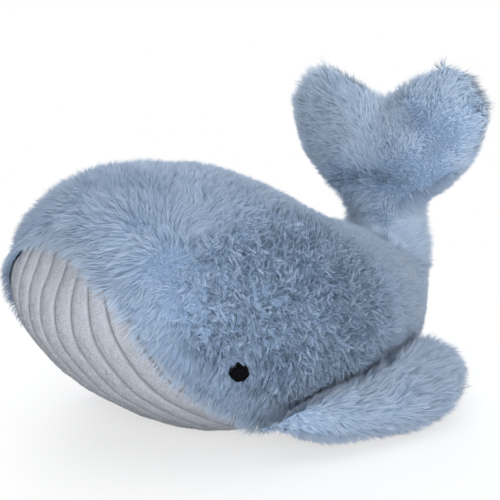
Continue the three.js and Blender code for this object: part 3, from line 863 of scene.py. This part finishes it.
class WHALE_OT_tail(Operator):
    """Draws pile cloth over the tail and its fluke"""
    bl_idname = "whale.tail"
    bl_label = "Tail and fluke"

    def execute(self, context):
        pile = context.scene.whale_pile
        points, triangles = whale_form()
        axis = joint("fluke_bend")[0]
        backing = cloth_material("tail_backing", pile)
        # Painted light: the tail's pile is a paler copy of the sides' pile
        hair = hair_material("tail_pile", *lit_copy(pile, 1.17))
        skin = shrunk(points, triangles, pile.depth)
        behind = (points - axis) @ TAIL_WAY > TAIL_CLOTH_START
        cloth = cloth_piece("tail_cloth", skin, triangles, behind, backing)

        def keep(roots):
            return (roots - axis) @ TAIL_WAY > TAIL_PILE_START

        roots, normals = rooted(skin, triangles, pile.density, 30, keep)
        height, y = (roots - axis) @ TAIL_WAY, roots[:, 1]
        sideways = 1.1 * np.clip(y / 0.03, -1, 1)
        outward = np.stack([np.zeros(len(roots)), sideways, np.full(len(roots), 0.55)], -1)
        part = eased(height, *FAN_HEIGHT)[:, None]
        lay = unit(np.array([1.0, 0.0, 0.2])) * (1 - part) + unit(outward) * part
        underside = eased(np.abs(y), *LOBE_SIDE) * (1 - eased(height, *LOBE_UNDERSIDE))
        neck = fading(height - NECK_HEIGHT, NECK_REACH)
        crease = fading(height - CREASE_HEIGHT, CREASE_REACH)
        crease = crease * (0.45 + 0.55 * fading(y, CREASE_HALF))

        # Longer on the lobes and the neck and shorter in the crease between them; painted shade
        # darkens the crease, and the tail's high tone is painted light
        lengths = 1.1 + 0.4 * eased(height, *LOBE_HEIGHT) - 0.35 * underside + 0.4 * neck
        lengths = pile.length * lengths * (1 - 0.25 * crease)
        tone = 0.84 - 0.62 * crease
        tousle = -0.3 + 0.7 * crease
        fur = grow_pile("tail_pile", roots, normals, lay, lengths, tone, tousle, pile, hair, 31)
        for piece in (cloth, fur):
            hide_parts("fluke_front_panel", "fluke_back_panel", "fluke_stuffing")
            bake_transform(piece)
        return {"FINISHED"}


# Flippers: fore and aft are ways from the middle of the root, in metres

FRONT_FORE, FRONT_EDGE_FORE, FRONT_END_FORE, TIP_AFT = (
    (-0.02, 0.03), (0.005, 0.03), (0.03, 0.05), (0.02, 0.06))


class WHALE_OT_flippers(Operator):
    """Draws pile cloth over both flippers"""
    bl_idname = "whale.flippers"
    bl_label = "Flippers"

    def execute(self, context):
        pile = context.scene.whale_pile
        backing = cloth_material("flipper_backing", pile)
        # Painted light: the flippers' pile is a paler copy of the sides' pile
        hair = hair_material("flipper_pile", *lit_copy(pile, 1.08))
        flank = search_tree("side_panel_left", "side_panel_right", "throat_panel")
        for seed, side in enumerate(("left", "right")):
            names = [name for name in frame["nodes"] if name.startswith(f"flipper_{side}")]
            root, axis = joint(f"flipper_{side}_flap")
            back = axis * (1 if axis[0] > 0 else -1)
            solid = np.vstack([places(frame["nodes"][name].data) for name in names])
            out = unit(flat_on(solid.mean(0) - root, back))
            down = np.cross(back, out) * (1 if side == "left" else -1)

            def seams(skin):
                return (np.abs((skin - root) @ down) < SEAM_REACH) | (skin[:, 2] < HELD_REACH)

            points, triangles = stuffed_form(names, context.scene.whale_cloth, seams)
            skin = shrunk(points, triangles, pile.depth)
            whole = np.ones(len(skin), bool)
            cloth = cloth_piece(f"flipper_cloth_{side}", skin, triangles, whole, backing)

            def keep(roots):
                return distances(flank, roots) > BODY_CLEARING

            roots, normals = rooted(skin, triangles, pile.density, 40 + seed, keep)
            aft, z = (roots - root) @ back, roots[:, 2]
            front = eased(-aft, *FRONT_FORE)[:, None]
            lay = unit(back * 0.8 + out * 0.45) - 0.8 * back * front + 0.6 * out * front

            # Longer toward the tip, and shorter near the floor and at the front
            lengths = pile.length * (0.7 + 0.3 * eased(z, 0.0, 0.015))
            lengths *= 1 + 0.4 * eased(aft, *TIP_AFT) - 0.35 * eased(-aft, *FRONT_EDGE_FORE)
            lengths *= 1 - 0.4 * eased(-aft, *FRONT_END_FORE)
            # Painted light: a high tone, paler still higher up on the flipper
            tone = 0.78 + 0.08 * eased(z, 0.02, 0.04)
            tousle = np.full(len(roots), 0.1)
            fur = grow_pile(
                f"flipper_pile_{side}", roots, normals, lay, lengths, tone, tousle, pile, hair,
                50 + seed)
            for piece in (cloth, fur):
                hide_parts(*names)
                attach(piece, f"flipper_{side}")
        return {"FINISHED"}


# Throat: lengths in metres, and hairs on a square millimetre

THROAT_ROWS, POINTS_ACROSS_RIB = 170, 22
THROAT_RIM, RIM_TUCK_WIDTH, RIM_TUCK_DEPTH = 0.0004, 0.003, 0.0035
UPWARD_SINK, SINK_UP = 0.0016, (0.004, 0.03)
NAP_DENSITY, NAP_WIDTH = 2.6, 0.0003


class WHALE_OT_throat(Operator):
    """Lays the ribbed panel over the throat and belly"""
    bl_idname = "whale.throat"
    bl_label = "Ribbed throat"

    def execute(self, context):
        throat = context.scene.whale_throat
        rows, columns = THROAT_ROWS, throat.count * POINTS_ACROSS_RIB + 1
        along, angles, _, lengths = throat_sections(rows, 120)
        width = throat.pitch * throat.count / 2
        limit = throat_half(along) * width + THROAT_RIM
        arcs = np.linspace(-width, width, columns)
        arc = np.clip(np.broadcast_to(arcs, (rows, columns)), -limit[:, None], limit[:, None])
        angle = np.stack([np.interp(np.abs(arc[k]), lengths[k], angles) for k in range(rows)])
        flip = np.where(arc < 0, -1, 1)[..., None] ** np.array([0, 1, 0])
        wide = along[:, None] + 0 * angle
        base, normal = core_point(wide, angle) * flip, core_normal(wide, angle) * flip
        waver = 0.0003 * ripple(base, 0.06, 71)
        across = np.abs(((arc + waver) / throat.pitch + 0.5) % 1 - 0.5) * 2
        height = throat.top - throat.groove * (0.35 * across ** 2 + 0.65 * across ** 14)
        height = height + 0.00012 * ripple(base, 0.02, 72)
        height = height - UPWARD_SINK * eased(base[..., 2], *SINK_UP)
        from_rim = np.minimum((limit[:, None] - np.abs(arc)) / RIM_TUCK_WIDTH, 1)
        height = height - RIM_TUCK_DEPTH * (1 - from_rim) ** 2
        points = base + normal * height[..., None]
        points[..., 2] = np.maximum(points[..., 2], FLOOR_LEVEL)
        points = points.reshape(-1, 3)
        mesh = mesh_of("throat_ribs", points, grid_faces(rows, columns))
        chart = np.stack([across.ravel(), (wide / THROAT_END_SHARE).ravel()], -1)
        add_map(mesh, "Ribs", inset(chart, 0.02))
        ribs = link(mesh, "throat_ribs", rib_material(throat))
        triangles = corners(mesh)
        rng = np.random.default_rng(73)
        roots, normals = scattered(points, triangles, NAP_DENSITY, rng)
        if surface_normals(points, triangles)[:, 2].mean() > 0:
            normals = -normals
        inside = roots[:, 2] > 2 * FLOOR_LEVEL
        roots, normals = roots[inside], normals[inside]
        lay = flat_on(np.array([0.6, 0, -0.4]) + rng.normal(size=roots.shape) * 0.5, normals)
        tall = throat.nap * rng.uniform(0.7, 1.2, (len(roots), 1))
        tips = roots + normals * tall * 0.85 + lay * tall * 0.5
        tips[:, 2] = np.maximum(tips[:, 2], FLOOR_LEVEL)
        tone = 0.55 + rng.normal(0, 0.16, len(roots))
        widths = np.full((len(roots), 1), NAP_WIDTH)
        facing = unit(normals + rng.normal(size=roots.shape) * 0.12)
        mesh = ribbon_mesh("throat_nap", [roots, tips], widths, tone, facing, rng)
        # Painted shade at the nap's roots, in the grooves' shade colour
        pale = scaled(throat.colour, 1.25)
        hair = hair_material("throat_nap", throat.shade, throat.colour, pale)
        nap = link(mesh, "throat_nap", hair)
        for piece in (ribs, nap):
            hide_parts("throat_panel")
            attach(piece, "body")
        return {"FINISHED"}


def rib_material(throat):
    """Short plush with painted shade in its grooves and a flecked nap."""
    name, plain = "throat_ribs", tuple(throat.colour)
    material, tree, surface = new_material(name, roughness=0.85, sheen=0.35, tint=plain)
    across, _ = map_shares(tree, "Ribs")
    flecks = ramp(tree, noise(tree, 1500.0, 2.0), [(0.35, scaled(plain, 0.75)), (0.65, plain)])
    # Painted shade in the grooves between the ribs
    inside = ramp(tree, across, [(0.8, BLACK), (0.96, WHITE)])
    tree.links.new(mixed(tree, inside, flecks, tuple(throat.shade)), surface.inputs["Base Color"])
    bumped(tree, surface, noise(tree, 1900.0), 0.0005)
    return material


# Eyes: the stitches' shares of the CAD eye, and lengths in metres

EYE_SHARE_ALONG, EYE_SHARE_UP, EYE_FORWARD = 0.88, 0.86, 0.0009
EYE_TURNS, EYE_RINGS = 120, 34
THREAD_HEIGHT, EYE_SUNK, SKIRT_DEPTH = 0.00035, 0.0006, 0.0035


class WHALE_OT_eyes(Operator):
    """Stitches the eyes into the pile"""
    bl_idname = "whale.eyes"
    bl_label = "Stitched eyes"

    def execute(self, context):
        eyes = context.scene.whale_eyes
        material, tree, surface = new_material("eye_thread", roughness=0.8)
        surface.inputs["Specular IOR Level"].default_value = 0.02
        strands = noise(tree, 2600.0, 2.0)
        colour = ramp(tree, strands, [(0.3, tuple(eyes.colour)), (0.8, scaled(eyes.colour, 2))])
        tree.links.new(colour, surface.inputs["Base Color"])
        bumped(tree, surface, strands, 0.0002)
        for side in ("left", "right"):
            middle, out, back, up = eye_frame(side)
            spots = places(frame["nodes"][f"eye_{side}"].data) - middle
            half_back = np.abs(spots @ back).max() * EYE_SHARE_ALONG
            half_up = np.abs(spots @ up).max() * EYE_SHARE_UP
            middle = middle - back * EYE_FORWARD
            turn = np.linspace(0, 2 * math.pi, EYE_TURNS, endpoint=False)[None, :]
            ring = np.linspace(0, 1, EYE_RINGS)[:, None]
            across, along = ring * np.cos(turn), ring * np.sin(turn)
            ragged = 1 + 0.04 * np.sin(7 * turn + 1.3) * ring + 0.03 * np.sin(19 * turn) * ring
            thread = np.abs(np.sin(across * eyes.stitches * math.pi / 2)) ** 0.6
            dome = np.sqrt(np.maximum(0, 1 - ring ** 2.6)) + 0 * turn
            height = eyes.rise * dome + THREAD_HEIGHT * thread * (1 - ring ** 6) - EYE_SUNK
            skirt = np.where(ring > 0.999, -SKIRT_DEPTH, 0)
            spot = (middle + out * (height + skirt)[..., None]
                    + back * (across * half_back * ragged)[..., None]
                    + up * (along * half_up * ragged)[..., None])
            faces = grid_faces(EYE_RINGS, EYE_TURNS, closed=True)
            name = f"eye_stitches_{side}"
            eye = link(mesh_of(name, spot.reshape(-1, 3), faces), name, material)
            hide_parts(f"eye_{side}")
            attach(eye, "body")
        return {"FINISHED"}


def shown_rays(tree):
    """One for rays from the camera, straight or by way of gloss or glass."""
    path = node(tree, "ShaderNodeLightPath")
    total = path.outputs["Is Camera Ray"]
    for kind in ("Is Glossy Ray", "Is Transmission Ray"):
        added = node(tree, "ShaderNodeMath", operation="ADD", use_clamp=True)
        tree.links.new(total, added.inputs[0])
        tree.links.new(path.outputs[kind], added.inputs[1])
        total = added.outputs[0]
    return total


def joined_shader(tree, factor, first, second, output):
    made = node(tree, "ShaderNodeMixShader")
    for socket, source in zip(made.inputs, (factor, first, second)):
        tree.links.new(source, socket)
    tree.links.new(made.outputs[0], output.inputs["Surface"])


# Stage, in metres; shares of the picture for the camera's shift

FLOOR_HALF = 8.0
LIT_POINT, BACK_LAMP_SHARE = (0, 0, 0.07), 0.7
CAMERA_TARGET, CAMERA_SHIFT, CAMERA_CLIP = (0.005, 0, 0.07), (-0.0268, 0.073), (0.01, 50)


def aimed(holder, way):
    """Turns a lamp or the camera to look along the way."""
    holder.rotation_euler = way.to_track_quat("-Z", "Y").to_euler()


class WHALE_OT_stage(Operator):
    """Sets the floor, the lights and the camera"""
    bl_idname = "whale.stage"
    bl_label = "Stage"

    def execute(self, context):
        stage = context.scene.whale_stage
        rim = [(-1, -1, 0), (1, -1, 0), (1, 1, 0), (-1, 1, 0)]
        mesh = mesh_of("floor", np.array(rim) * FLOOR_HALF, np.array([[0, 1, 2, 3]]))
        material, tree, surface = new_material("floor_paper", roughness=0.9)
        paper = ramp(tree, noise(tree, 6.0), [(0.0, (0.92,) * 3), (1.0, (0.94,) * 3)])
        tree.links.new(paper, surface.inputs["Base Color"])
        where = node(tree, "ShaderNodeTexCoord")
        far = node(tree, "ShaderNodeVectorMath", operation="LENGTH")
        tree.links.new(where.outputs["Object"], far.inputs[0])
        share = node(tree, "ShaderNodeMapRange", interpolation_type="SMOOTHSTEP")
        for socket, value in zip(share.inputs[1:5], (stage.near, stage.far, stage.white, 1.0)):
            socket.default_value = value
        tree.links.new(far.outputs["Value"], share.inputs[0])
        seen = node(tree, "ShaderNodeMath", operation="MULTIPLY")
        tree.links.new(shown_rays(tree), seen.inputs[0])
        tree.links.new(share.outputs[0], seen.inputs[1])
        white = node(tree, "ShaderNodeEmission", Color=(*WHITE, 1), Strength=1.0)
        joined_shader(
            tree, seen.outputs[0], surface.outputs[0], white.outputs[0],
            tree.nodes["Material Output"])
        floor = link(mesh, "floor", material)

        world = bpy.data.worlds.new("studio")
        context.scene.world = world
        world.use_nodes = True
        tree = world.node_tree
        tree.nodes.clear()
        white = node(tree, "ShaderNodeBackground", Color=(*WHITE, 1), Strength=1.0)
        lit = node(tree, "ShaderNodeBackground", Color=(0.96, 0.98, 1, 1), Strength=stage.fill)
        output = node(tree, "ShaderNodeOutputWorld")
        joined_shader(tree, shown_rays(tree), lit.outputs[0], white.outputs[0], output)

        for name, place, width, power in (
            ("overhead", (-0.25, -0.15, 1.2), 1.1, stage.light),
            ("front", (-0.86, -1.03, 0.37), 0.9, stage.frontal),
            ("back", (0.9, 0.95, 0.6), 1.1, stage.frontal * BACK_LAMP_SHARE),
        ):
            lamp = bpy.data.lights.new(name, "AREA")
            lamp.shape, lamp.size, lamp.energy = "DISK", width, power
            holder = link(lamp, name)
            holder.location = place
            aimed(holder, Vector(LIT_POINT) - holder.location)

        data = bpy.data.cameras.new("camera")
        camera = link(data, "camera")
        around, above = stage.azimuth, stage.elevation
        level = math.cos(above)
        away = Vector((math.sin(around) * level, -math.cos(around) * level, math.sin(above)))
        camera.location = Vector(CAMERA_TARGET) + away * stage.distance
        aimed(camera, -away)
        data.angle = stage.view_angle
        data.shift_x, data.shift_y = CAMERA_SHIFT
        data.clip_start, data.clip_end = CAMERA_CLIP
        context.scene.camera = camera
        context.scene.view_settings.view_transform = "Standard"
        return {"FINISHED"}


OPERATORS = (
    WHALE_OT_throat, WHALE_OT_sides, WHALE_OT_tail, WHALE_OT_flippers, WHALE_OT_eyes,
    WHALE_OT_stage)


class WHALE_PT_sidebar(Panel):
    """The whale's pieces, in sewing order"""
    bl_idname = "WHALE_PT_sidebar"
    bl_label = "Plush whale"
    bl_space_type = "VIEW_3D"
    bl_region_type = "UI"
    bl_category = "Whale"

    def draw(self, context):
        for operator in OPERATORS:
            self.layout.operator(operator.bl_idname, text=operator.bl_label)
        for name in SETTINGS:
            box = self.layout.box()
            group = getattr(context.scene, name)
            for key in group.__annotations__:
                box.prop(group, key)


def register():
    for group in SETTINGS.values():
        bpy.utils.register_class(group)
    for name, group in SETTINGS.items():
        setattr(bpy.types.Scene, name, PointerProperty(type=group))
    for item in (*OPERATORS, WHALE_PT_sidebar):
        bpy.utils.register_class(item)


def unregister():
    for item in reversed((*OPERATORS, WHALE_PT_sidebar)):
        bpy.utils.unregister_class(item)
    for name in SETTINGS:
        delattr(bpy.types.Scene, name)
    for group in reversed(list(SETTINGS.values())):
        bpy.utils.unregister_class(group)


def main():
    register()
    for operator in OPERATORS:
        group, name = operator.bl_idname.split(".")
        result = getattr(getattr(bpy.ops, group), name)()
        if "FINISHED" not in result:
            raise RuntimeError(f"{operator.bl_label} could not be made")


if __name__ == "__main__":
    main()
